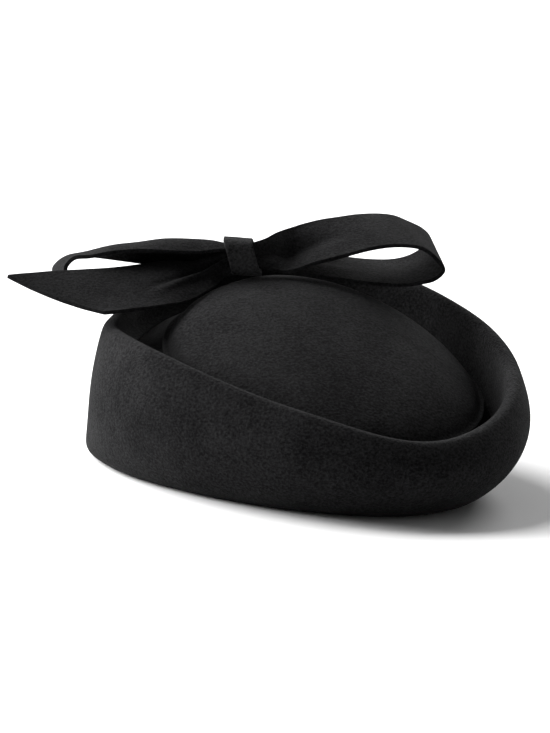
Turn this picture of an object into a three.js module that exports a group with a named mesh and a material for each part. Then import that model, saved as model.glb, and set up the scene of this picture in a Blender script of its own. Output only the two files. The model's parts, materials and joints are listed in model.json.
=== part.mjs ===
// A blocked wool felt pillbox hat with a rolled crest, a low crown set inside it and a felt bow.
// Millimetres, +Z up. The front of the hat is towards -Y and the wearer's left is towards +X.
// Left and right in the names of the bow's pieces are as seen from the front.

import * as THREE from 'three';

// Felt
const BODY_FELT = 2.5;
const BOW_FELT = 1.8;
const GAP = 0.3;
const SEAT_GAP = 0.45;

// Cuff: the wall that takes the head
const HEAD_HALF_WIDTH = 85.8;
const HEAD_HALF_LENGTH = 102.5;
const FRONT_NARROWING = 0.16;
const CUFF_HEIGHT = 86;
const WALL_LEAN = 19;
const WALL_BULGE = 12.4;
const CREST_RADIUS = 4.6;
const HEM_RADIUS = 5.5;
const HEM_TURN = 2.5;

// Groove between the cuff and the crown
const SIDE_GROOVE = 8.5;
const FRONT_GROOVE = 15.9;
const BACK_GROOVE = 45.7;
const FRONT_RECESS = 11.5;
const BACK_RECESS = 6.5;
const GROOVE_DIP = 5;
const GROOVE_FOLD_SHARE = 0.4;
const SEAT_WIDTH = 7;

// Crown
const CROWN_RISE = 28.3;
const CROWN_SIDE_SHIFT = 5.3;
const CROWN_TOP_SHIFT = 8.5;
const CROWN_TOP_SETBACK = 21.3;
const CROWN_FLATNESS = 1.8;
const CROWN_STEEPNESS = 1.6;
const FLANGE_WIDTH = 2.4;

// Bow
const BOW_TURN = -35;
const BOW_SIDE = -8;
const BOW_BACK = 42.3;
const KNOT_WIDTH = 13.5;
const KNOT_DEPTH = 17;
const KNOT_HEIGHT = 17.6;
const KNOT_LEAN = 17.5;
const KNOT_SIDE = 1.8;
const KNOT_SQUARENESS = 0.6;
const STRIP_WIDTH = 36;
const RIGHT_REACH = 91.4;
const LEFT_REACH = 84.6;
const LOOP_RISE = 20;
const TAIL_REACH = 82.2;

// How finely the faceted solids are cut
const AROUND = 60;
const WALL_STEPS = 7;
const ROLL_STEPS = 5;
const FOLD_STEPS = 3;
const DOME_RINGS = 9;
const KNOT_STEPS = 20;
const ACROSS = 6;
const STATIONS = 30;
const RING_ERROR = 1e-6;

// One row for each eighth of the way round, from the front by the wearer's left side to the back.
// rise is a share of CUFF_HEIGHT, lean of WALL_LEAN and bulge of WALL_BULGE.
const CUFF_SECTIONS = [
  { rise: 0.43, lean: 0.74, bulge: 0.96 },
  { rise: 0.61, lean: 1.0, bulge: 1.0 },
  { rise: 0.84, lean: 0.78, bulge: 0.56 },
  { rise: 1.0, lean: 0.17, bulge: 0.27 },
  { rise: 0.87, lean: -0.28, bulge: 0.12 },
  { rise: 0.76, lean: -0.4, bulge: 0.03 },
  { rise: 0.75, lean: 0.38, bulge: 0.63 },
  { rise: 0.57, lean: 0.55, bulge: 0.88 },
];

// Strips of the bow, a row for each section from the knot's upper side to its lower side or the tip.
// out is a share of the strip's reach, up of LOOP_RISE, back and width of STRIP_WIDTH.
// turn and tilt are the degrees that the width swings round and rises towards the back.
// arch lifts the middle of the width, as a share of it.
const LEFT_LOOP = [
  { out: 0, back: 0, up: 0.2, width: 0.27, turn: 0, tilt: 5, arch: 0.03 },
  { out: 0.09, back: 0, up: 0.04, width: 0.3, turn: 4, tilt: -24, arch: 0.42 },
  { out: 0.23, back: 0.11, up: -0.12, width: 0.6, turn: 6, tilt: -20, arch: 0.37 },
  { out: 0.42, back: 0.11, up: -0.21, width: 0.83, turn: 7, tilt: -21, arch: 0.29 },
  { out: 0.56, back: 0.06, up: -0.19, width: 0.86, turn: 10, tilt: -19, arch: 0.19 },
  { out: 0.71, back: 0.04, up: -0.2, width: 0.9, turn: 10, tilt: -14, arch: 0.12 },
  { out: 0.85, back: 0.02, up: -0.25, width: 0.94, turn: 12, tilt: -8, arch: 0.03 },
  { out: 0.94, back: 0.02, up: -0.34, width: 0.95, turn: 12, tilt: -10, arch: 0 },
  { out: 0.99, back: 0.02, up: -0.6, width: 0.96, turn: 13, tilt: -10, arch: 0 },
  { out: 0.95, back: 0, up: -0.8, width: 0.92, turn: 13, tilt: -8, arch: 0 },
  { out: 0.79, back: 0.05, up: -0.86, width: 0.91, turn: 11, tilt: -5, arch: 0 },
  { out: 0.53, back: 0.1, up: -0.79, width: 0.9, turn: 10, tilt: -4, arch: 0 },
  { out: 0.22, back: 0.2, up: -0.43, width: 0.42, turn: 6, tilt: 4, arch: 0 },
  { out: 0.09, back: 0.05, up: -0.25, width: 0.17, turn: 0, tilt: 58, arch: 0 },
  { out: 0, back: 0.06, up: -0.15, width: 0.17, turn: 0, tilt: 60, arch: 0 },
];

const RIGHT_LOOP = [
  { out: 0, back: -0.07, up: 0, width: 0.3, turn: 0, tilt: 65, arch: 0 },
  { out: 0.13, back: 0.02, up: 0.1, width: 0.4, turn: 10, tilt: 60, arch: -0.04 },
  { out: 0.25, back: 0.24, up: 0.15, width: 0.8, turn: 9, tilt: 35, arch: -0.12 },
  { out: 0.36, back: 0.4, up: 0.3, width: 0.89, turn: 12, tilt: 26, arch: -0.06 },
  { out: 0.47, back: 0.51, up: 0.43, width: 0.93, turn: 18, tilt: 22, arch: -0.03 },
  { out: 0.62, back: 0.67, up: 0.58, width: 0.97, turn: 18, tilt: 17, arch: 0 },
  { out: 0.74, back: 0.8, up: 0.64, width: 1, turn: 20, tilt: 15, arch: 0.02 },
  { out: 0.85, back: 0.88, up: 0.62, width: 1, turn: 21, tilt: 15, arch: 0.02 },
  { out: 0.92, back: 0.94, up: 0.5, width: 1, turn: 17, tilt: 14, arch: 0.01 },
  { out: 0.99, back: 0.96, up: 0.32, width: 1, turn: 12, tilt: 15, arch: 0 },
  { out: 1.03, back: 0.97, up: 0.08, width: 1, turn: 11, tilt: 14, arch: 0 },
  { out: 0.98, back: 0.94, up: -0.18, width: 0.97, turn: 14, tilt: 12, arch: 0 },
  { out: 0.9, back: 0.91, up: -0.33, width: 0.96, turn: 19, tilt: 9, arch: 0 },
  { out: 0.79, back: 0.79, up: -0.38, width: 0.96, turn: 19, tilt: 10, arch: 0 },
  { out: 0.63, back: 0.65, up: -0.34, width: 0.89, turn: 19, tilt: 12, arch: 0 },
  { out: 0.47, back: 0.45, up: -0.21, width: 0.75, turn: 19, tilt: 18, arch: 0 },
  { out: 0.28, back: 0.24, up: -0.1, width: 0.55, turn: 18, tilt: 28, arch: 0 },
  { out: 0.14, back: 0.07, up: -0.06, width: 0.26, turn: 8, tilt: 55, arch: 0 },
  { out: 0, back: 0.07, up: -0.05, width: 0.24, turn: 0, tilt: 65, arch: 0 },
];

const TAIL = [
  { out: 0.004, back: -0.08, up: -0.06, width: 0.16, turn: 0, tilt: 62, arch: 0 },
  { out: 0.085, back: -0.07, up: -0.255, width: 0.33, turn: 14, tilt: 60, arch: 0 },
  { out: 0.19, back: -0.2, up: -0.475, width: 0.57, turn: 25, tilt: 29, arch: 0 },
  { out: 0.33, back: -0.42, up: -0.58, width: 0.87, turn: 28, tilt: 25, arch: 0.05 },
  { out: 0.53, back: -0.7, up: -0.685, width: 1, turn: 45, tilt: 19.6, arch: 0.02 },
  { out: 0.74, back: -0.95, up: -0.75, width: 1.15, turn: 57, tilt: 17, arch: 0 },
  { out: 1, back: -1.29, up: -0.82, width: 1.41, turn: 72, tilt: 13, arch: -0.04 },
];

const degrees = THREE.MathUtils.degToRad;

/** A smooth curve through four neighbouring rows, a share of the way between the middle two. */
function between(before, from, to, after, share) {
  const slopeIn = (to - before) / 2;
  const slopeOut = (after - from) / 2;
  const turn = share * share * (3 - 2 * share);
  const lift = share * (1 - share);
  return from + (to - from) * turn + lift * ((1 - share) * slopeIn - share * slopeOut);
}

/** A column of the cuff's table at an angle round the hat. */
function aroundValue(column, angle) {
  const count = CUFF_SECTIONS.length;
  const place = THREE.MathUtils.euclideanModulo(angle / (2 * Math.PI), 1) * count;
  const row = Math.floor(place);
  const at = (step) => CUFF_SECTIONS[(row + step + count) % count][column];
  return between(at(-1), at(0), at(1), at(2), place - row);
}

/** A column of a strip's table, a share of the way along its rows. */
function alongValue(rows, column, share) {
  const place = share * (rows.length - 1);
  const row = Math.min(Math.floor(place), rows.length - 2);
  const at = (step) => rows[THREE.MathUtils.clamp(row + step, 0, rows.length - 1)][column];
  return between(at(-1), at(0), at(1), at(2), place - row);
}

/** The point of the head oval at an angle, on the outside of the cuff's wall. */
function headPoint(angle) {
  const narrowing = 1 - FRONT_NARROWING * Math.cos(angle);
  return new THREE.Vector2(
    HEAD_HALF_WIDTH * Math.sin(angle) * narrowing,
    -HEAD_HALF_LENGTH * Math.cos(angle),
  );
}

/** The outward direction of the head oval at an angle. */
function headNormal(angle) {
  const step = 0.001;
  const run = headPoint(angle + step).sub(headPoint(angle - step));
  return new THREE.Vector2(run.y, -run.x).normalize();
}

// Crown oval, and the sloping plane that its foot lies in
const crownHalfWidth = HEAD_HALF_WIDTH - SIDE_GROOVE;
const crownFront = -(HEAD_HALF_LENGTH - FRONT_GROOVE);
const crownBack = HEAD_HALF_LENGTH - BACK_GROOVE;
const crownHalfLength = (crownBack - crownFront) / 2;
const crownMiddle = (crownBack + crownFront) / 2;
const domeHalfWidth = crownHalfWidth - FLANGE_WIDTH;
const domeHalfLength = crownHalfLength - FLANGE_WIDTH;
const footFront = CUFF_HEIGHT * CUFF_SECTIONS[0].rise - FRONT_RECESS;
const footBack = CUFF_HEIGHT * CUFF_SECTIONS[CUFF_SECTIONS.length / 2].rise - BACK_RECESS;
const footSlope = (footBack - footFront) / (crownBack - crownFront);

/** The height of the plane that the crown's flange lies on. */
function footHeight(y) {
  return footFront + footSlope * (y - crownFront);
}

/** How far it is from a point of the groove, straight in, to the edge of the crown's flange. */
function distanceToCrown(point, inward) {
  const start = new THREE.Vector2(
    (point.x - CROWN_SIDE_SHIFT) / crownHalfWidth,
    (point.y - crownMiddle) / crownHalfLength,
  );
  const run = new THREE.Vector2(inward.x / crownHalfWidth, inward.y / crownHalfLength);
  const a = run.dot(run);
  const b = start.dot(run);
  const c = start.dot(start) - 1;
  return (-b - Math.sqrt(Math.max(b * b - a * c, 0))) / a;
}

/** The outline of the cuff's felt in the upright plane at an angle, as outward offsets and heights. */
function cuffProfile(angle) {
  const rise = CUFF_HEIGHT * aroundValue('rise', angle);
  const lean = WALL_LEAN * aroundValue('lean', angle);
  const bulge = WALL_BULGE * aroundValue('bulge', angle);
  const rollOffset = lean - CREST_RADIUS;
  const rollHeight = rise - CREST_RADIUS;
  const rollStart = Math.atan2(4 * bulge - lean, rollHeight);
  const topOffset = rollOffset + CREST_RADIUS * Math.cos(rollStart);
  const topHeight = rollHeight + CREST_RADIUS * Math.sin(rollStart);
  const profile = [[-HEM_RADIUS - HEM_TURN, 0], [-HEM_RADIUS, 0]];
  for (let i = 1; i <= FOLD_STEPS; i += 1) {
    const bend = (Math.PI / 2) * (i / FOLD_STEPS);
    const height = HEM_RADIUS * (1 - Math.cos(bend));
    const share = height / topHeight;
    const swell = topOffset * share + 4 * bulge * share * (1 - share);
    profile.push([swell - HEM_RADIUS * (1 - Math.sin(bend)), height]);
  }
  const first = HEM_RADIUS / topHeight;
  for (let i = 1; i <= WALL_STEPS; i += 1) {
    const share = first + ((1 - first) * i) / WALL_STEPS;
    profile.push([topOffset * share + 4 * bulge * share * (1 - share), topHeight * share]);
  }
  for (let i = 1; i <= ROLL_STEPS; i += 1) {
    const bend = rollStart + ((Math.PI - rollStart) * i) / ROLL_STEPS;
    profile.push([
      rollOffset + CREST_RADIUS * Math.cos(bend),
      rollHeight + CREST_RADIUS * Math.sin(bend),
    ]);
  }
  const { faceOffset, faceTop, fold, floor } = grooveAt(angle);
  profile.push([faceOffset, (faceTop + floor + fold) / 2]);
  for (let i = 0; i < FOLD_STEPS; i += 1) {
    const bend = (Math.PI / 2) * (i / (FOLD_STEPS - 1));
    profile.push([
      faceOffset - fold * (1 - Math.cos(bend)),
      floor + fold * (1 - Math.sin(bend)),
    ]);
  }
  return profile;
}

/** Where the cuff's inner face, the fold at its foot and the seat of the crown lie at an angle. */
function grooveAt(angle) {
  const faceOffset = WALL_LEAN * aroundValue('lean', angle) - 2 * CREST_RADIUS;
  const faceTop = CUFF_HEIGHT * aroundValue('rise', angle) - CREST_RADIUS;
  const normal = headNormal(angle);
  const face = headPoint(angle).addScaledVector(normal, faceOffset);
  const width = distanceToCrown(face, normal.clone().negate());
  const seatHeight = (inward) => footHeight(face.y - normal.y * inward) - SEAT_GAP;
  const seatStart = width - FLANGE_WIDTH / 2;
  const seatEnd = width + SEAT_WIDTH;
  const fold = Math.min(width * GROOVE_FOLD_SHARE, GROOVE_DIP);
  const floor = Math.min(seatHeight(seatStart), faceTop - GROOVE_DIP / 2) - GROOVE_DIP;
  return { faceOffset, faceTop, fold, floor, seatStart, seatEnd, seatHeight };
}

/** The outline of the ledge's felt at an angle, from the groove's floor in under the crown's flange. */
function ledgeProfile(angle) {
  const { faceOffset, fold, floor, seatStart, seatEnd, seatHeight } = grooveAt(angle);
  return [
    [faceOffset - fold - GAP, floor],
    [faceOffset - seatStart, seatHeight(seatStart)],
    [faceOffset - seatEnd, seatHeight(seatEnd)],
  ];
}

/** Closed rings round the hat, one for each point of a profile that changes with the angle. */
function ringsOf(profileAt) {
  const columns = ringOf((angle) => {
    const base = headPoint(angle);
    const normal = headNormal(angle);
    return profileAt(angle).map(([offset, height]) => new THREE.Vector3(
      base.x + normal.x * offset,
      base.y + normal.y * offset,
      height,
    ));
  });
  return columns[0].map((_, i) => columns.map((column) => column[i]));
}

/** The middle of one ring of the crown's upper face: ring 0 is its top and ring 1 its foot. */
function ringMiddle(ring) {
  const settle = 1 - ring * ring;
  return new THREE.Vector2(
    CROWN_SIDE_SHIFT + CROWN_TOP_SHIFT * settle,
    crownMiddle + CROWN_TOP_SETBACK * settle,
  );
}

/** The height of the crown's upper face where a ring passes over a place along the hat. */
function crownHeight(ring, y) {
  const fullness = (1 - ring ** CROWN_FLATNESS) ** (1 / CROWN_STEEPNESS);
  return footHeight(y) + BODY_FELT + (CROWN_RISE - BODY_FELT) * fullness;
}

/** A point of the crown's upper face. */
function crownPoint(ring, angle) {
  const centre = ringMiddle(ring);
  const x = centre.x + domeHalfWidth * ring * Math.sin(angle);
  const y = centre.y - domeHalfLength * ring * Math.cos(angle);
  return new THREE.Vector3(x, y, crownHeight(ring, y));
}

/** The crown's upper face, as closed rings from the edge of its flange to near its top. */
function crownRings() {
  const rings = [ringOf((angle) => {
    const x = CROWN_SIDE_SHIFT + crownHalfWidth * Math.sin(angle);
    const y = crownMiddle - crownHalfLength * Math.cos(angle);
    return new THREE.Vector3(x, y, footHeight(y) + BODY_FELT);
  })];
  for (let i = DOME_RINGS; i > 0; i -= 1) {
    const ring = Math.sin((Math.PI / 2) * (i / DOME_RINGS));
    rings.push(ringOf((angle) => crownPoint(ring, angle)));
  }
  return rings;
}

/** A closed ring, with one value for each step round the hat. */
function ringOf(pointAt) {
  return Array.from({ length: AROUND }, (_, j) => pointAt((2 * Math.PI * j) / AROUND));
}

/** The height of the crown's upper face above a point of the plan, found by halving steps. */
function crownHeightAt(x, y) {
  let inner = 0;
  let outer = 1;
  while (outer - inner > RING_ERROR) {
    const ring = (inner + outer) / 2;
    const centre = ringMiddle(ring);
    const reach = Math.hypot((x - centre.x) / domeHalfWidth, (y - centre.y) / domeHalfLength);
    if (reach > ring) {
      inner = ring;
    } else {
      outer = ring;
    }
  }
  return crownHeight(inner, y);
}

/**
 * A sheet of felt as one closed solid.
 * rows are lines of points. ring says that each line closes on itself, loop that the last line meets
 * the first. outside is the share of the thickness that lies on the outer side of the points.
 * top closes the last line over a middle point.
 */
function feltSolid(rows, thickness, { ring = false, loop = false, outside = 0, top = null } = {}) {
  const count = rows[0].length;
  const lines = rows.length;
  const index = (i, j) => ((i + lines) % lines) * count + ((j + count) % count);
  const points = rows.flat();
  if (top) {
    points.push(top);
  }
  const faces = [];
  for (let i = 0; i < (loop ? lines : lines - 1); i += 1) {
    for (let j = 0; j < (ring ? count : count - 1); j += 1) {
      faces.push([index(i, j), index(i, j + 1), index(i + 1, j + 1)]);
      faces.push([index(i, j), index(i + 1, j + 1), index(i + 1, j)]);
    }
  }
  if (top) {
    for (let j = 0; j < count; j += 1) {
      faces.push([index(lines - 1, j), index(lines - 1, j + 1), points.length - 1]);
    }
  }
  const normals = points.map(() => new THREE.Vector3());
  for (const [a, b, c] of faces) {
    const side = points[b].clone().sub(points[a]);
    const normal = side.cross(points[c].clone().sub(points[a]));
    normals[a].add(normal);
    normals[b].add(normal);
    normals[c].add(normal);
  }
  const place = (share) => points.map((point, k) => {
    const shift = normals[k].clone().normalize().multiplyScalar(thickness * share);
    return point.clone().add(shift);
  });
  const vertices = [...place(outside), ...place(outside - 1)];
  const under = points.length;
  const triangles = faces.concat(faces.map(([a, b, c]) => [a + under, c + under, b + under]));
  const rim = (a, b) => triangles.push([a, b + under, b], [a, a + under, b + under]);
  if (!loop) {
    for (let j = 0; j < (ring ? count : count - 1); j += 1) {
      rim(index(0, j), index(0, j + 1));
      if (!top) {
        rim(index(lines - 1, j + 1), index(lines - 1, j));
      }
    }
  }
  if (!ring) {
    for (let i = 0; i < (loop ? lines : lines - 1); i += 1) {
      rim(index(i + 1, 0), index(i, 0));
      rim(index(i, count - 1), index(i + 1, count - 1));
    }
  }
  const geometry = new THREE.BufferGeometry();
  const flat = vertices.flatMap((vertex) => vertex.toArray());
  geometry.setAttribute('position', new THREE.Float32BufferAttribute(flat, 3));
  geometry.setIndex(triangles.flat());
  geometry.computeVertexNormals();
  return geometry;
}

/** Lines of points across a strip of the bow. side is 1 for the right of the knot and -1 for the left. */
function stripRows(rows, reach, side) {
  const lines = [];
  for (let i = 0; i <= STATIONS; i += 1) {
    const share = i / STATIONS;
    const value = (column) => alongValue(rows, column, share);
    const turn = degrees(value('turn'));
    const tilt = degrees(value('tilt'));
    const width = STRIP_WIDTH * value('width');
    const across = new THREE.Vector3(
      -Math.sin(turn) * Math.cos(tilt),
      Math.cos(turn) * Math.cos(tilt),
      Math.sin(tilt),
    );
    const centre = new THREE.Vector3(
      side * (GAP + reach * value('out')),
      STRIP_WIDTH * value('back'),
      LOOP_RISE * value('up'),
    );
    const lift = new THREE.Vector3(0, -Math.sin(tilt), Math.cos(tilt));
    lift.multiplyScalar(width * value('arch'));
    const line = [];
    for (let j = 0; j <= ACROSS; j += 1) {
      const place = j / ACROSS - 0.5;
      const point = centre.clone().addScaledVector(across, width * place);
      point.addScaledVector(lift, 1 - 4 * place * place);
      line.push(point);
    }
    lines.push(side > 0 ? line : line.reverse());
  }
  return lines;
}

/** The band of the knot, as lines of points across it all the way round the strips. */
function knotRows() {
  const lines = [];
  const round = (value) => Math.sign(value) * Math.abs(value) ** KNOT_SQUARENESS;
  for (let i = 0; i < KNOT_STEPS; i += 1) {
    const angle = (2 * Math.PI * i) / KNOT_STEPS;
    const back = -(KNOT_DEPTH / 2) * round(Math.cos(angle));
    const up = (KNOT_HEIGHT / 2) * round(Math.sin(angle));
    const lean = -up * Math.tan(degrees(KNOT_LEAN));
    const places = [-KNOT_WIDTH / 2, 0, KNOT_WIDTH / 2];
    lines.push(places.map((place) => new THREE.Vector3(KNOT_SIDE + place + lean, back, up)));
  }
  return lines;
}

/** The height at which the knot's band just clears the crown under it. */
function knotSeat(rows) {
  const turn = new THREE.Euler(0, 0, degrees(BOW_TURN));
  const rises = rows.flat().map((point) => {
    const place = point.clone().applyEuler(turn);
    return crownHeightAt(BOW_SIDE + place.x, BOW_BACK + place.y) - place.z;
  });
  return Math.max(...rises) + GAP;
}

/** A named piece of felt with a material of its own. */
function piece(name, geometry) {
  const material = new THREE.MeshStandardMaterial({ color: 0x17171a, roughness: 0.95, metalness: 0 });
  const mesh = new THREE.Mesh(geometry, material);
  mesh.name = name;
  return mesh;
}

/** A named strip of the bow. */
function strip(name, rows, reach, side) {
  return piece(name, feltSolid(stripRows(rows, reach, side), BOW_FELT, { outside: 0.5 }));
}

const bow = new THREE.Group();
const band = knotRows();
bow.position.set(BOW_SIDE, BOW_BACK, knotSeat(band));
bow.rotation.z = degrees(BOW_TURN);
bow.add(piece('bow_knot', feltSolid(band, BOW_FELT, { loop: true })));
bow.add(strip('bow_loop_right', RIGHT_LOOP, RIGHT_REACH, 1));
bow.add(strip('bow_loop_left', LEFT_LOOP, LEFT_REACH, -1));
bow.add(strip('bow_tail', TAIL, TAIL_REACH, -1));

const group = new THREE.Group();
group.add(piece('cuff', feltSolid(ringsOf(cuffProfile), BODY_FELT, { ring: true })));
group.add(piece('groove_ledge', feltSolid(ringsOf(ledgeProfile), BODY_FELT, { ring: true })));
group.add(piece('crown', feltSolid(crownRings(), BODY_FELT, { ring: true, top: crownPoint(0, 0) })));
group.add(bow);

// The origin is under the middle of the whole hat, on the surface that it rests on
const bounds = new THREE.Box3().setFromObject(group, true);
const middle = bounds.getCenter(new THREE.Vector3());
group.position.set(-middle.x, -middle.y, -bounds.min.z);

export default group;
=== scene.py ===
"""A black wool felt pillbox hat with a felt bow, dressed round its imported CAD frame.

Everything is in metres. The front of the hat is towards -Y.
Left and right are as seen from the front.
"""

from __future__ import annotations

import json
import logging
import math
from dataclasses import dataclass, field
from enum import Enum
from typing import Callable, Iterable, Sequence

import bmesh
import bpy
from mathutils import Matrix, Vector, noise

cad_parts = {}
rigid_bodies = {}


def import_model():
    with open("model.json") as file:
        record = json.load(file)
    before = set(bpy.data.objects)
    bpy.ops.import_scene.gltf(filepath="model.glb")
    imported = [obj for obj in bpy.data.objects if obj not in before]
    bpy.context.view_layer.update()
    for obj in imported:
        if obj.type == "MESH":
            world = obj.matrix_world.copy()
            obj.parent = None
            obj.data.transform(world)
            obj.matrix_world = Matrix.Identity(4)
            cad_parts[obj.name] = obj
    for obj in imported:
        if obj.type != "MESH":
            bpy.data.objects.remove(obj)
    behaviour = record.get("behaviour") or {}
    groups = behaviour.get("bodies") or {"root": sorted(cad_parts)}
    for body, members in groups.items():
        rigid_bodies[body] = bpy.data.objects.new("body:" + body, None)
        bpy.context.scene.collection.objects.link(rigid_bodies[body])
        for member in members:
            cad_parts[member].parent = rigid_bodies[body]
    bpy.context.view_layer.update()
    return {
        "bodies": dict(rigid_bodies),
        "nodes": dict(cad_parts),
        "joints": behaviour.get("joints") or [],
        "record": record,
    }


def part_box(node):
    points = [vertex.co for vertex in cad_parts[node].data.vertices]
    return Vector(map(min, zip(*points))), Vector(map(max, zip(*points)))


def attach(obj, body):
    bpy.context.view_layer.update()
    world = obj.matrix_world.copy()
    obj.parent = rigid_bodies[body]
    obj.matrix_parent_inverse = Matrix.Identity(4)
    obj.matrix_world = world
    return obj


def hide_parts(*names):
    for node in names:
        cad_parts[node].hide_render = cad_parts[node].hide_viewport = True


LOG = logging.getLogger("pillbox_hat")
MM = 0.001
BODY = "root"
# The point attribute that holds painted shade: at 1 the felt's colour drops fully to its shade
# colour, standing in for shadow in the groove.
PAINTED_SHADE_ATTRIBUTE = "painted_shade"
EVEN = 0.5


class Side(Enum):
    """The side of the knot that a strip of the bow lies on."""

    LEFT = -1
    RIGHT = 1


class Nap(Enum):
    """How a felt was finished: brushed on the body of the hat, pressed flat on the bow."""

    BRUSHED = "brushed"
    PRESSED = "pressed"


# ---- Shader maths


class Socket:
    """A shader socket that takes part in sums as a number does."""

    def __init__(self, shader: "Shader", link: bpy.types.NodeSocket) -> None:
        """Wraps the output link of a node of a shader."""
        self.shader = shader
        self.link = link

    def _math(self, operation: str, *values: "Socket | float") -> "Socket":
        """A Math node on this socket and other values."""
        return self.shader.math(operation, self, *values)

    def __add__(self, other: "Socket | float") -> "Socket":
        """The sum with a socket or number."""
        return self._math("ADD", other)

    def __radd__(self, other: float) -> "Socket":
        """The sum with a number on the left."""
        return self._math("ADD", other)

    def __mul__(self, other: "Socket | float") -> "Socket":
        """The product with a socket or number."""
        return self._math("MULTIPLY", other)

    def __rmul__(self, other: float) -> "Socket":
        """The product with a number on the left."""
        return self._math("MULTIPLY", other)

    def __sub__(self, other: "Socket | float") -> "Socket":
        """This socket less a socket or number."""
        return self._math("SUBTRACT", other)

    def __rsub__(self, other: float) -> "Socket":
        """A number less this socket."""
        return self.shader.math("SUBTRACT", other, self)

    def clamped(self) -> "Socket":
        """This socket kept between 0 and 1."""
        return self.shader.node("ShaderNodeClamp", {}, {"Value": self}).out("Result")


class NodeHandle:
    """A node of a shader, with its outputs as sockets."""

    def __init__(self, shader: "Shader", node: bpy.types.Node) -> None:
        """Wraps a node."""
        self.shader = shader
        self.node = node

    def out(self, name: str | int = 0) -> Socket:
        """An output by its name or place."""
        return Socket(self.shader, self.node.outputs[name])


class Shader:
    """The node tree of one new material."""

    def __init__(self, name: str) -> None:
        """Makes an empty material.

        Args:
            name: The material's name.
        """
        self.material = bpy.data.materials.new(name)
        self.material.use_nodes = True
        self.tree = self.material.node_tree
        self.tree.nodes.clear()

    def node(
        self,
        kind: str,
        settings: dict[str, object],
        values: dict[str | int, object],
    ) -> NodeHandle:
        """Adds a node.

        Args:
            kind: The node's type.
            settings: The node's own settings, which are set first.
            values: A value or a Socket for each input, by its name or place.

        Returns:
            The node's handle.
        """
        node = self.tree.nodes.new(kind)
        for key, value in settings.items():
            setattr(node, key, value)
        for key, value in values.items():
            if isinstance(value, Socket):
                self.tree.links.new(value.link, node.inputs[key])
            else:
                node.inputs[key].default_value = value
        return NodeHandle(self, node)

    def math(self, operation: str, *values: Socket | float) -> Socket:
        """A Math node on sockets or numbers."""
        return self.node("ShaderNodeMath", {"operation": operation}, dict(enumerate(values))).out()

    def grain(self, vector: Socket, size: float, detail: float = 2.0) -> Socket:
        """Noise whose spots are about a size in metres.

        Args:
            vector: The coordinates.
            size: How far apart the spots are, in metres.
            detail: How many finer layers it has.

        Returns:
            The noise, about 0.5 on average.
        """
        values = {"Vector": vector, "Scale": 1.0 / size, "Detail": detail, "Roughness": 0.6}
        return self.node("ShaderNodeTexNoise", {}, values).out(0)

    def mix(self, share: Socket, low: Sequence[float], high: Sequence[float]) -> Socket:
        """A colour between two, by a share."""
        values = {"Factor": share, 6: (*low, 1.0), 7: (*high, 1.0)}
        return self.node("ShaderNodeMix", {"data_type": "RGBA"}, values).out(2)


# ---- Finishes


@dataclass(frozen=True)
class NapLook:
    """How a nap shows.

    Attributes:
        tuft_share: How much of the grain is tufts and not single fibres.
        sheen: How much its fibre tips catch the light.
    """

    tuft_share: float
    sheen: float


NAP_LOOKS = {
    Nap.BRUSHED: NapLook(tuft_share=0.75, sheen=0.04),
    Nap.PRESSED: NapLook(tuft_share=0.65, sheen=0.03),
}


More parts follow.
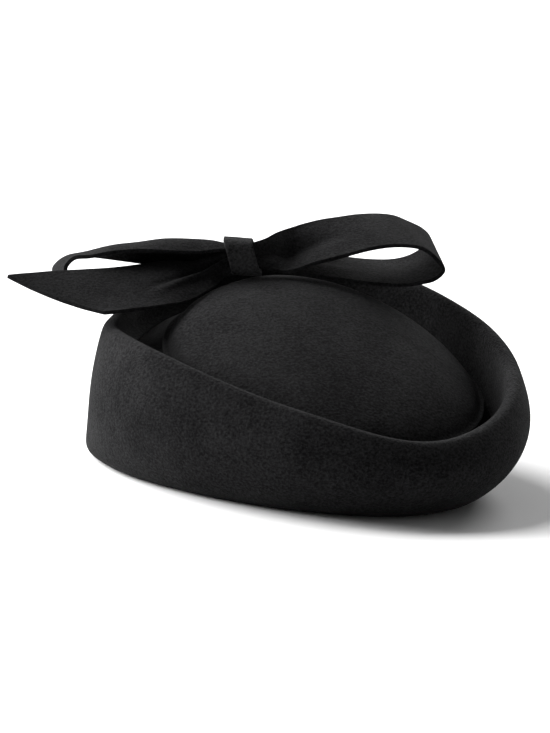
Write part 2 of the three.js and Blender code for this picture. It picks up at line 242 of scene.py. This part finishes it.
@dataclass(frozen=True)
class FeltFinish:
    """Wool felt: matted fibres with a short nap that catches the light.

    Attributes:
        name: The material's name.
        nap: How the felt was finished.
        shade: The colour between the fibres.
        tip: The colour of the fibre tips.
        fibre: The width of the finest grain, in metres.
        tuft: The size of the small tufts.
        cloud: The size of the slow changes of tone.
        depth: The height of the grain, in metres.
        lay: How much the grain is drawn out along each axis.
        contrast: How strongly the grain changes the tone.
        base_tone: The tone of even felt, from shade at 0 to tip at 1.
        cloud_tone: How strongly the clouds change the tone.
        lint_space: How far apart the specks of lint are, as a share of a tuft.
        lint_edge: How sharply a speck of lint ends.
        lint_light: How much lighter a speck is.
        rough: The roughness of the lightest felt.
        rough_range: How much rougher the darkest felt is.
        cloud_height: How much the clouds lift the felt, against the grain.
        strength: How strongly the grain bends the light.
    """

    name: str
    nap: Nap
    shade: tuple[float, float, float]
    tip: tuple[float, float, float]
    fibre: float = 0.42 * MM
    tuft: float = 1.3 * MM
    cloud: float = 22 * MM
    depth: float = 0.9 * MM
    lay: tuple[float, float, float] = (1.0, 1.0, 1.25)
    contrast: float = 3.6
    base_tone: float = 0.42
    cloud_tone: float = 0.9
    lint_space: float = 3.1
    lint_edge: float = 9.0
    lint_light: float = 0.35
    rough: float = 0.86
    rough_range: float = 0.12
    cloud_height: float = 0.8
    strength: float = 0.85

    def material(self) -> bpy.types.Material:
        """The felt's node material."""
        shader = Shader(self.name)
        place = shader.node("ShaderNodeTexCoord", {}, {}).out("Object")
        stretched = shader.node(
            "ShaderNodeVectorMath",
            {"operation": "MULTIPLY"},
            {0: place, 1: self.lay},
        ).out()
        fibre = shader.grain(stretched, self.fibre, 3.0)
        tuft = shader.grain(stretched, self.tuft, 4.0)
        cloud = shader.grain(place, self.cloud, 2.0)
        lint = shader.node(
            "ShaderNodeTexVoronoi",
            {"feature": "F1"},
            {"Vector": place, "Scale": 1.0 / (self.lint_space * self.tuft), "Randomness": 1.0},
        ).out("Distance")
        look = NAP_LOOKS[self.nap]
        grain = fibre * (1.0 - look.tuft_share) + tuft * look.tuft_share
        clouds = (cloud - EVEN) * self.cloud_tone
        tone = ((grain - EVEN) * self.contrast + self.base_tone + clouds).clamped()
        speck = (1.0 - lint * self.lint_edge).clamped() * self.lint_light
        # Painted shade: the point attribute darkens the colour towards the shade colour, standing
        # in for shadow in the groove.
        painted_shade = shader.node("ShaderNodeAttribute", {"attribute_name": PAINTED_SHADE_ATTRIBUTE}, {}).out("Fac")
        share = (tone + speck).clamped() * (1.0 - painted_shade)
        colour = shader.mix(share, self.shade, self.tip)
        rough = self.rough + (1.0 - tone) * self.rough_range
        height = grain + cloud * self.cloud_height
        bump = shader.node(
            "ShaderNodeBump",
            {},
            {"Strength": self.strength, "Distance": self.depth, "Height": height},
        ).out()
        principled = shader.node(
            "ShaderNodeBsdfPrincipled",
            {},
            {
                "Base Color": colour,
                "Roughness": rough,
                "Normal": bump,
                "Sheen Weight": look.sheen,
                "Sheen Roughness": 0.45,
                "Sheen Tint": (0.4, 0.4, 0.41, 1.0),
                "Specular IOR Level": 0.06,
            },
        ).out()
        shader.node("ShaderNodeOutputMaterial", {}, {"Surface": principled})
        return shader.material


@dataclass(frozen=True)
class FloorFinish:
    """Pale matt paper under the hat.

    Attributes:
        name: The material's name.
        colour: The paper's colour.
        tooth: The size of its grain, in metres.
        depth: The height of its grain, in metres.
        strength: How strongly the grain bends the light.
        rough: Its roughness.
    """

    name: str = "pale_paper"
    colour: tuple[float, float, float] = (0.9, 0.9, 0.9)
    tooth: float = 0.8 * MM
    depth: float = 0.05 * MM
    strength: float = 0.05
    rough: float = 0.95

    def material(self) -> bpy.types.Material:
        """The paper's node material."""
        shader = Shader(self.name)
        place = shader.node("ShaderNodeTexCoord", {}, {}).out("Object")
        tooth = shader.grain(place, self.tooth)
        bump = shader.node(
            "ShaderNodeBump",
            {},
            {"Strength": self.strength, "Distance": self.depth, "Height": tooth},
        ).out()
        values = {"Base Color": (*self.colour, 1.0), "Roughness": self.rough, "Normal": bump}
        principled = shader.node("ShaderNodeBsdfPrincipled", {}, values).out()
        shader.node("ShaderNodeOutputMaterial", {}, {"Surface": principled})
        return shader.material


# ---- Shared mesh work


def wave(place: Vector, size: float, seed: float) -> float:
    """Smooth unevenness at a place, about -1 to 1, with waves of a size in metres."""
    return noise.noise(place / size + Vector((seed, 2 * seed, 3 * seed)))


def hump(value: float, middle: float, width: float) -> float:
    """A smooth rise to 1 at the middle that fades out over a width each way."""
    return math.exp(-(((value - middle) / width) ** 2))


def ease(value: float, start: float, end: float) -> float:
    """0 before start, 1 after end and a smooth step between."""
    share = min(max((value - start) / (end - start), 0.0), 1.0)
    return share * share * (3 - 2 * share)


def between(rows: Sequence[float], share: float) -> float:
    """A smooth curve through rows, a share of the way along them."""
    place = share * (len(rows) - 1)
    row = min(int(place), len(rows) - 2)
    part = place - row
    before, start = rows[max(row - 1, 0)], rows[row]
    end, after = rows[row + 1], rows[min(row + 2, len(rows) - 1)]
    turn = part * part * (3 - 2 * part)
    slopes = (1 - part) * (end - before) / 2 - part * (after - start) / 2
    return start + (end - start) * turn + part * (1 - part) * slopes


def added(name: str, data: bpy.types.ID) -> bpy.types.Object:
    """Puts an object with its data in the scene."""
    thing = bpy.data.objects.new(name, data)
    bpy.context.scene.collection.objects.link(thing)
    return thing


def meshed(name: str, bm: bmesh.types.BMesh) -> bpy.types.Mesh:
    """Turns a worked mesh into a kept one."""
    mesh = bpy.data.meshes.new(name)
    bm.to_mesh(mesh)
    bm.free()
    return mesh


def rounded(piece: bpy.types.Object, levels: int) -> bpy.types.Object:
    """Rounds a piece by halving its faces, and applies all its modifiers."""
    rounding = piece.modifiers.new("rounding", "SUBSURF")
    rounding.levels = levels
    rounding.render_levels = levels
    return baked(piece)


def baked(piece: bpy.types.Object) -> bpy.types.Object:
    """Applies a piece's modifiers to its mesh."""
    bpy.context.view_layer.update()
    graph = bpy.context.evaluated_depsgraph_get()
    mesh = bpy.data.meshes.new_from_object(piece.evaluated_get(graph))
    piece.modifiers.clear()
    piece.data = mesh
    return piece


def smooth(mesh: bpy.types.Mesh) -> None:
    """Shades every face of a mesh smooth."""
    mesh.polygons.foreach_set("use_smooth", [True] * len(mesh.polygons))


def relief(piece: bpy.types.Object, height: Callable[[Vector], float]) -> None:
    """Moves each point of a piece along its normal.

    Args:
        piece: The piece, with no modifiers left.
        height: The move in metres at a place.
    """
    moved = [v.co + v.normal * height(v.co) for v in piece.data.vertices]
    for vertex, place in zip(piece.data.vertices, moved):
        vertex.co = place
    piece.data.update()


def settle(piece: bpy.types.Object, finish: bpy.types.Material, nodes: Iterable[str]) -> None:
    """Gives a finished piece its material and its body, and hides the nodes that it stands for."""
    names = list(nodes)
    piece.data.materials.clear()
    piece.data.materials.append(finish)
    smooth(piece.data)
    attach(piece, BODY)
    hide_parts(*names)
    LOG.info("%s: %d faces", piece.name, len(piece.data.polygons))


# ---- The blocked body of the hat


@dataclass
class BlockedFelt:
    """A piece of felt pulled over a wooden block, smoothed from its CAD solid.

    Attributes:
        node: The CAD node that it stands for.
        name: The piece's name.
        levels: How often its faces are halved.
        crisp: How sharp a cut edge stays, from 0 to 1.
        cut_angle: The fold in degrees past which an edge is a cut edge.
        flat_angle: The fold in degrees up to which two triangles become one face.
        weld: How near two points are joined into one, in metres.
        unevenness: How far the felt strays from an even curve, in metres.
        ripple: The length of its slow waves, in metres.
        seed: Sets its own waves.
        painted_shade: How far painted shade darkens the felt towards its shade colour, standing in
            for shadow in the groove, from 0 to 1.
    """

    node: str
    name: str
    levels: int = 2
    crisp: float = 0.55
    cut_angle: float = 62.0
    flat_angle: float = 50.0
    weld: float = 0.02 * MM
    unevenness: float = 0.4 * MM
    ripple: float = 34 * MM
    seed: float = 1.7
    # Painted shade: darkens the felt's colour in place of the shadow in the groove.
    painted_shade: float = 0.0

    def block(self, frame: dict[str, object]) -> bpy.types.Object:
        """Makes the smoothed copy of the node, with its modifiers applied."""
        bm = bmesh.new()
        bm.from_mesh(frame["nodes"][self.node].data)
        bmesh.ops.remove_doubles(bm, verts=bm.verts, dist=self.weld)
        bmesh.ops.join_triangles(
            bm,
            faces=bm.faces,
            angle_face_threshold=math.radians(self.flat_angle),
            angle_shape_threshold=math.pi,
        )
        cut = math.radians(self.cut_angle)
        creases = bm.edges.layers.float.new("crease_edge")
        for edge in bm.edges:
            if len(edge.link_faces) == 2 and edge.calc_face_angle() > cut:
                edge[creases] = self.crisp
        return rounded(added(self.name, meshed(self.name, bm)), self.levels)

    def swell(self, co: Vector, _: tuple[Vector, Vector]) -> float:
        """How far the felt stands out from its block at a place of the node's box."""
        return self.unevenness * wave(co, self.ripple, self.seed)

    def painted_shade_share(self, _: Vector, __: tuple[Vector, Vector]) -> float:
        """How much painted shade a place of the node's box gets, from 0 to 1."""
        return self.painted_shade

    def make(self, frame: dict[str, object], finish: FeltFinish) -> bpy.types.Object:
        """Builds and dresses the piece.

        Args:
            finish: The felt.

        Returns:
            The piece.
        """
        piece = self.block(frame)
        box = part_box(self.node)
        relief(piece, lambda co: self.swell(co, box))
        # Each point's painted shade, which darkens the felt's colour.
        layer = piece.data.attributes.new(PAINTED_SHADE_ATTRIBUTE, "FLOAT", "POINT")
        layer.data.foreach_set("value", [self.painted_shade_share(v.co, box) for v in piece.data.vertices])
        settle(piece, finish.material(), [self.node])
        return piece


@dataclass
class Crown(BlockedFelt):
    """The low dome inside the cuff, whose edge lies deep in the groove on the left, darkened there
    with painted shade.

    Attributes:
        slope: How much the edge rises for each step back.
        band: How far above the edge the painted shade ends, in metres.
        open_side: Where the painted shade starts to fade towards the right, in metres.
    """

    slope: float = 0.299
    band: float = 9 * MM
    open_side: float = 10 * MM

    def painted_shade_share(self, co: Vector, box: tuple[Vector, Vector]) -> float:
        """How much painted shade a place gets: most at the edge on the left, where the groove is
        in shadow.
        """
        # Painted shade: strongest low on the crown's left edge, fading upwards and towards the
        # right.
        low, _ = box
        rise = co.z - low.z - self.slope * (co.y - low.y)
        by_height = 1 - ease(rise, self.band / 2, self.band)
        by_side = 1 - ease(co.x, -self.open_side, self.open_side)
        return by_height * by_side


# ---- The bow


@dataclass(frozen=True)
class Station:
    """One section of a strip of the bow.

    Attributes:
        out: How far from the knot, as a share of the strip's reach.
        back: How far back, as a share of the strip's width.
        up: How high, as a share of the loops' rise.
        width: The width of the section, as a share of the strip's width.
        turn: The degrees that the width swings round.
        tilt: The degrees that the width rises towards the back.
        arch: How far the middle of the width is lifted, as a share of it.
    """

    out: float
    back: float
    up: float
    width: float
    turn: float
    tilt: float
    arch: float


@dataclass(frozen=True)
class Pleat:
    """A soft fold that runs out of the knot along a strip.

    Attributes:
        start: Its place across the strip at the knot, from -0.5 at the front to 0.5 at the back.
        end: Its place across the strip where it fades out.
        reach: How far along the strip it runs, as a share.
        height: How far it stands up, or sinks if below 0, in metres.
        spread: Its width, as a share of the strip's.
        from_end: Whether it starts at the far end of the strip, which is in the knot on a loop.
    """

    start: float
    end: float
    reach: float
    height: float
    spread: float = 0.1
    from_end: bool = False

    def lift(self, across: float, along: float) -> float:
        """How far the pleat moves a place of the strip."""
        run = (1 - along if self.from_end else along) / self.reach
        if run >= 1:
            return 0.0
        middle = self.start + (self.end - self.start) * run
        fade = ease(run, 0.0, 0.16) * (1 - ease(run, 0.5, 1.0))
        return self.height * fade * hump(across, middle, self.spread)


LEFT_LOOP = (
    Station(0, 0, 0.2, 0.27, 0, 5, 0.03),
    Station(0.09, 0, 0.04, 0.3, 4, -24, 0.42),
    Station(0.23, 0.11, -0.12, 0.6, 6, -20, 0.37),
    Station(0.42, 0.11, -0.21, 0.83, 7, -21, 0.29),
    Station(0.56, 0.06, -0.19, 0.86, 10, -19, 0.19),
    Station(0.71, 0.04, -0.2, 0.9, 10, -14, 0.12),
    Station(0.85, 0.02, -0.25, 0.94, 12, -8, 0.03),
    Station(0.94, 0.02, -0.34, 0.95, 12, -10, 0),
    Station(0.99, 0.02, -0.6, 0.96, 13, -10, 0),
    Station(0.95, 0, -0.8, 0.92, 13, -8, 0),
    Station(0.79, 0.05, -0.86, 0.91, 11, -5, 0),
    Station(0.53, 0.1, -0.79, 0.9, 10, -4, 0),
    Station(0.22, 0.2, -0.43, 0.42, 6, 4, 0),
    Station(0.09, 0.05, -0.25, 0.17, 0, 58, 0),
    Station(0, 0.06, -0.15, 0.17, 0, 60, 0),
)

RIGHT_LOOP = (
    Station(0, -0.07, 0, 0.3, 0, 65, 0),
    Station(0.13, 0.02, 0.1, 0.4, 10, 60, -0.04),
    Station(0.25, 0.24, 0.15, 0.8, 9, 35, -0.12),
    Station(0.36, 0.4, 0.3, 0.89, 12, 26, -0.06),
    Station(0.47, 0.51, 0.43, 0.93, 18, 22, -0.03),
    Station(0.62, 0.67, 0.58, 0.97, 18, 17, 0),
    Station(0.74, 0.8, 0.64, 1, 20, 15, 0.02),
    Station(0.85, 0.88, 0.62, 1, 21, 15, 0.02),
    Station(0.92, 0.94, 0.5, 1, 17, 14, 0.01),
    Station(0.99, 0.96, 0.32, 1, 12, 15, 0),
    Station(1.03, 0.97, 0.08, 1, 11, 14, 0),
    Station(0.98, 0.94, -0.18, 0.97, 14, 12, 0),
    Station(0.9, 0.91, -0.33, 0.96, 19, 9, 0),
    Station(0.79, 0.79, -0.38, 0.96, 19, 10, 0),
    Station(0.63, 0.65, -0.34, 0.89, 19, 12, 0),
    Station(0.47, 0.45, -0.21, 0.75, 19, 18, 0),
    Station(0.28, 0.24, -0.1, 0.55, 18, 28, 0),
    Station(0.14, 0.07, -0.06, 0.26, 8, 55, 0),
    Station(0, 0.07, -0.05, 0.24, 0, 65, 0),
)

TAIL = (
    Station(0.004, -0.08, -0.06, 0.16, 0, 62, 0),
    Station(0.085, -0.07, -0.255, 0.33, 14, 60, 0),
    Station(0.19, -0.2, -0.475, 0.57, 25, 29, 0),
    Station(0.33, -0.42, -0.58, 0.87, 28, 25, 0.05),
    Station(0.53, -0.7, -0.685, 1, 45, 19.6, 0.02),
    Station(0.74, -0.95, -0.75, 1.15, 57, 17, 0),
    Station(1, -1.29, -0.82, 1.41, 72, 13, -0.04),
)


@dataclass
class Strip:
    """A strip of flat felt that leaves the knot on one side.

    Attributes:
        node: The CAD node that it stands for.
        side: The side of the knot.
        reach: How far it goes out, in metres.
        rows: Its sections.
        flat: The width and length that it was cut to, in metres. Not used.
        cut_share: The area of the cut as a share of that rectangle. Not used.
        pleats: The folds that run out of the knot.
        seed: Sets its own unevenness.
    """

    node: str
    side: Side
    reach: float
    rows: tuple[Station, ...]
    flat: tuple[float, float]
    cut_share: float
    pleats: tuple[Pleat, ...] = ()
    seed: float = 0.0

    def local(self, across: float, along: float, width: float, rise: float, gap: float) -> Vector:
        """The place in the bow of a point of the strip.

        Args:
            across: The place across it, from -0.5 at the front to 0.5 at the back.
            along: The place along it, from 0 to 1.
            width: The strip's width, in metres.
            rise: The loops' rise, in metres.
            gap: The gap at the middle of the knot, in metres.

        Returns:
            The place, with X to the right of the knot, Y back and Z up.
        """
        row = {
            key: between([getattr(station, key) for station in self.rows], along)
            for key in ("out", "back", "up", "width", "turn", "tilt", "arch")
        }
        turn, tilt = math.radians(row["turn"]), math.radians(row["tilt"])
        reach = width * row["width"]
        level = math.cos(tilt)
        run = Vector((-math.sin(turn) * level, math.cos(turn) * level, math.sin(tilt)))
        lift = Vector((0.0, -math.sin(tilt), math.cos(tilt)))
        aside = self.side.value * (gap + self.reach * row["out"])
        centre = Vector((aside, width * row["back"], rise * row["up"]))
        swell = reach * row["arch"] * (1 - 4 * across * across)
        swell += sum(pleat.lift(across, along) for pleat in self.pleats)
        return centre + run * (reach * across) + lift * swell


@dataclass
class Bow:
    """The felt bow: a knot band, two loops and a tail.

    Attributes:
        turn: How far the bow is turned on the hat, in degrees.
        knot_side: How far to the right the knot sits on the strips, in metres.
        width: The width of its strips, in metres.
        rise: The height that the strips' tables are a share of, in metres.
        gap: The gap between the two sides in the knot, in metres.
        thickness: The thickness of the felt, in metres.
        across: The number of faces across a strip, before rounding.
        along: The number of faces along a strip, before rounding.
        crisp: How sharp a cut edge stays, from 0 to 1.
        levels: How often its faces are halved.
        unevenness: How far the felt strays from an even curve, in metres.
        ripple: The length of its slow waves, in metres.
        strips: The loops and the tail.
    """

    turn: float = -35.0
    knot_side: float = 1.8 * MM
    width: float = 36 * MM
    rise: float = 20 * MM
    gap: float = 0.3 * MM
    thickness: float = 1.8 * MM
    across: int = 24
    along: int = 72
    crisp: float = 0.8
    levels: int = 2
    unevenness: float = 0.12 * MM
    ripple: float = 9 * MM
    strips: tuple[Strip, ...] = field(default_factory=tuple)

    def ground(self) -> Matrix:
        """The place and turn of the bow, with the middle of its strips at its origin."""
        low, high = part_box("bow_knot")
        turned = Matrix.Rotation(math.radians(self.turn), 4, "Z")
        aside = Matrix.Translation((-self.knot_side, 0.0, 0.0))
        return Matrix.Translation((low + high) / 2) @ turned @ aside

    def lay(self, strip: Strip) -> bpy.types.Object:
        """Bends a flat strip of felt to its place, and gives it its thickness."""
        ground = self.ground()
        bm = bmesh.new()
        bmesh.ops.create_grid(bm, x_segments=self.across, y_segments=self.along, size=0.5)
        for vertex in bm.verts:
            across, along = vertex.co.x, vertex.co.y + 0.5
            place = strip.local(across, along, self.width, self.rise, self.gap)
            vertex.co = ground @ place
        if strip.side is Side.LEFT:
            bmesh.ops.reverse_faces(bm, faces=bm.faces)
        name = f"felt_{strip.node}"
        piece = added(name, meshed(name, bm))
        felt = piece.modifiers.new("felt", "SOLIDIFY")
        felt.thickness = self.thickness
        felt.offset = 0.0
        felt.use_even_offset = True
        felt.edge_crease_outer = self.crisp
        felt.edge_crease_inner = self.crisp
        return rounded(piece, self.levels)

    def dress(self, strip: Strip, finish: FeltFinish) -> bpy.types.Object:
        """Finishes one strip, attaches it to the hat and hides its CAD node."""
        piece = self.lay(strip)
        relief(piece, lambda co: self.unevenness * wave(co, self.ripple, strip.seed))
        settle(piece, finish.material(), [strip.node])
        return piece


@dataclass
class Knot(BlockedFelt):
    """The band of felt wrapped round the middle of the bow.

    Attributes:
        creases: The heights of its cross creases above its middle, in metres.
        crease_depth: How deep they are, in metres.
        crease_width: How wide they are, in metres.
        wander: How far they stray from straight, in metres.
        wander_length: The length of those waves, in metres.
    """

    creases: tuple[float, ...] = (1.6 * MM, -1.8 * MM)
    crease_depth: float = 0.07 * MM
    crease_width: float = 0.8 * MM
    wander: float = 0.5 * MM
    wander_length: float = 7 * MM

    def swell(self, co: Vector, box: tuple[Vector, Vector]) -> float:
        """How far the band stands out at a place, with its creases pressed in."""
        low, high = box
        stray = self.wander * wave(co, self.wander_length, 2.0)
        rise = co.z - (low.z + high.z) / 2 + stray
        lines = sum(hump(rise, height, self.crease_width) for height in self.creases)
        return super().swell(co, box) - self.crease_depth * lines


# ---- The studio


@dataclass(frozen=True)
class SoftLamp:
    """A round soft lamp, placed from the target in the camera's directions.

    Attributes:
        name: The lamp's name.
        right: How far it stands to the right, in metres.
        up: How far it stands above, in metres.
        back: How far it stands towards the camera, in metres.
        size: Its width, in metres.
        power: Its power, in watts.
    """

    name: str
    right: float
    up: float
    back: float
    size: float
    power: float


@dataclass
class Studio:
    """The pale floor, the soft light and the camera.

    Attributes:
        azimuth: The camera's direction round the hat, in degrees; 0 looks along +Y.
        elevation: The camera's height above the horizon, in degrees.
        roll: How far the camera leans, in degrees.
        distance: From the camera to its target, in metres.
        target: What the camera looks at.
        lens: The focal length for a 36 mm long side, in millimetres.
        floor_reach: How far the floor goes, in metres.
        sky_power: The strength of the wide light from above.
        sky_spread: How wide that light is, in degrees.
        dark_level: The surrounding's strength as a light.
        bright_level: The surrounding's strength as it is seen.
        lamps: The soft lamps.
    """

    azimuth: float = -35.0
    elevation: float = 10.71
    roll: float = 4.0
    distance: float = 1.7017
    target: tuple[float, float, float] = (-0.68 * MM, 13.0 * MM, 48.05 * MM)
    lens: float = 179.5
    floor_reach: float = 20.0
    sky_power: float = 6.5
    sky_spread: float = 50.0
    dark_level: float = 0.16
    bright_level: float = 1.0
    lamps: tuple[SoftLamp, ...] = (
        SoftLamp("left_lamp", right=-1.0, up=0.35, back=0.1, size=0.5, power=11.0),
        SoftLamp("back_lamp", right=0.5, up=0.7, back=-0.8, size=0.6, power=6.0),
    )

    def axes(self) -> tuple[Vector, Vector, Vector]:
        """The camera's right, up and back directions, before its roll."""
        turn, rise = math.radians(self.azimuth), math.radians(self.elevation)
        level = math.cos(rise)
        back = Vector((math.sin(turn) * level, -math.cos(turn) * level, math.sin(rise)))
        right = Vector((math.cos(turn), math.sin(turn), 0.0))
        return right, back.cross(right), back

    def shoot(self) -> None:
        """Makes the camera."""
        data = bpy.data.cameras.new("camera")
        data.lens = self.lens
        data.sensor_width = 36.0
        camera = added("camera", data)
        right, up, back = self.axes()
        lean = math.radians(self.roll)
        side = right * math.cos(lean) + up * math.sin(lean)
        top = up * math.cos(lean) - right * math.sin(lean)
        place = Vector(self.target) + back * self.distance
        turned = Matrix((side, top, back)).transposed().to_4x4()
        camera.matrix_world = Matrix.Translation(place) @ turned
        bpy.context.scene.camera = camera

    def hang(self, lamp: SoftLamp) -> None:
        """Adds a soft lamp that faces the hat."""
        data = bpy.data.lights.new(lamp.name, "AREA")
        data.shape = "DISK"
        data.size = lamp.size
        data.energy = lamp.power
        right, up, back = self.axes()
        target = Vector(self.target)
        place = target + right * lamp.right + up * lamp.up + back * lamp.back
        hung = added(lamp.name, data)
        hung.location = place
        hung.rotation_euler = (target - place).to_track_quat("-Z", "Y").to_euler()

    def light(self) -> None:
        """Lights the hat from above its left side, over an even white surrounding."""
        right, _, back = self.axes()
        data = bpy.data.lights.new("sky_light", "SUN")
        data.energy = self.sky_power
        data.angle = math.radians(self.sky_spread)
        sky = added("sky_light", data)
        towards = -right * 0.95 + Vector((0, 0, 1.0)) - back * 0.6
        sky.rotation_euler = (-towards).to_track_quat("-Z", "Y").to_euler()
        for lamp in self.lamps:
            self.hang(lamp)
        world = bpy.data.worlds.new("surrounding")
        world.use_nodes = True
        background = world.node_tree.nodes["Background"]
        path = world.node_tree.nodes.new("ShaderNodeLightPath")
        bright = world.node_tree.nodes.new("ShaderNodeMapRange")
        bright.inputs["To Min"].default_value = self.dark_level
        bright.inputs["To Max"].default_value = self.bright_level
        world.node_tree.links.new(path.outputs["Is Camera Ray"], bright.inputs["Value"])
        world.node_tree.links.new(bright.outputs["Result"], background.inputs["Strength"])
        background.inputs["Color"].default_value = (1.0, 1.0, 1.0, 1.0)
        bpy.context.scene.world = world
        bpy.context.scene.view_settings.view_transform = "Standard"

    def floor(self, finish: FloorFinish) -> None:
        """Lays the floor under the hat."""
        bm = bmesh.new()
        bmesh.ops.create_circle(bm, cap_ends=True, segments=96, radius=self.floor_reach)
        mesh = meshed("floor", bm)
        mesh.materials.append(finish.material())
        added("floor", mesh)


def bow_strips() -> tuple[Strip, ...]:
    """The two loops and the tail, with the folds that run out of the knot."""
    return (
        Strip(
            node="bow_loop_right",
            side=Side.RIGHT,
            reach=91.4 * MM,
            rows=RIGHT_LOOP,
            flat=(36 * MM, 200 * MM),
            cut_share=0.85,
            pleats=(
                Pleat(0.0, 0.02, 0.3, -1.6 * MM, 0.12),
                Pleat(0.3, 0.32, 0.25, 0.8 * MM, 0.12),
                Pleat(-0.32, -0.3, 0.22, 0.7 * MM, 0.12),
                Pleat(0.1, 0.1, 0.25, -1.0 * MM, 0.12, from_end=True),
            ),
            seed=5.1,
        ),
        Strip(
            node="bow_loop_left",
            side=Side.LEFT,
            reach=84.6 * MM,
            rows=LEFT_LOOP,
            flat=(36 * MM, 190 * MM),
            cut_share=0.85,
            pleats=(
                Pleat(0.05, 0.05, 0.28, -0.9 * MM, 0.14),
                Pleat(0.1, 0.1, 0.25, 0.9 * MM, 0.14, from_end=True),
            ),
            seed=6.3,
        ),
        Strip(
            node="bow_tail",
            side=Side.LEFT,
            reach=82.2 * MM,
            rows=TAIL,
            flat=(42 * MM, 98 * MM),
            cut_share=0.78,
            pleats=(
                Pleat(0.44, 0.38, 0.5, 1.1 * MM, 0.07),
                Pleat(0.35, -0.16, 0.74, -1.8 * MM, 0.07),
                Pleat(0.24, -0.28, 0.74, 2.4 * MM, 0.06),
            ),
            seed=7.7,
        ),
    )


def main() -> None:
    """Builds the hat, the bow and the studio in order."""
    logging.basicConfig(level=logging.INFO, format="%(name)s: %(message)s")
    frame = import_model()
    between = (0.0025, 0.0025, 0.0027)
    brushed = FeltFinish("brushed_felt", Nap.BRUSHED, between, (0.017, 0.017, 0.0176))
    pressed = FeltFinish("pressed_felt", Nap.PRESSED, between, (0.015, 0.015, 0.0156))
    # Painted light: the knot band is the same felt as the bow, but its shade and tip colours are
    # lighter, standing in for light on the knot.
    band = FeltFinish("band_felt_painted_light", Nap.PRESSED, (0.006, 0.006, 0.0062), (0.03, 0.03, 0.031))
    BlockedFelt("cuff", "felt_cuff", unevenness=0.45 * MM, ripple=38 * MM).make(frame, brushed)
    # The ledge deep in the groove gets full painted shade, standing in for its shadow.
    BlockedFelt("groove_ledge", "felt_ledge", unevenness=0.0, painted_shade=1.0).make(frame, brushed)
    Crown("crown", "felt_crown", ripple=30 * MM, seed=4.2).make(frame, brushed)
    Knot("bow_knot", "felt_knot", levels=3, unevenness=0.12 * MM, ripple=6 * MM).make(frame, band)
    bow = Bow(strips=bow_strips())
    for strip in bow.strips:
        bow.dress(strip, pressed)
    studio = Studio()
    studio.floor(FloorFinish())
    studio.light()
    studio.shoot()


if __name__ == "__main__":
    main()
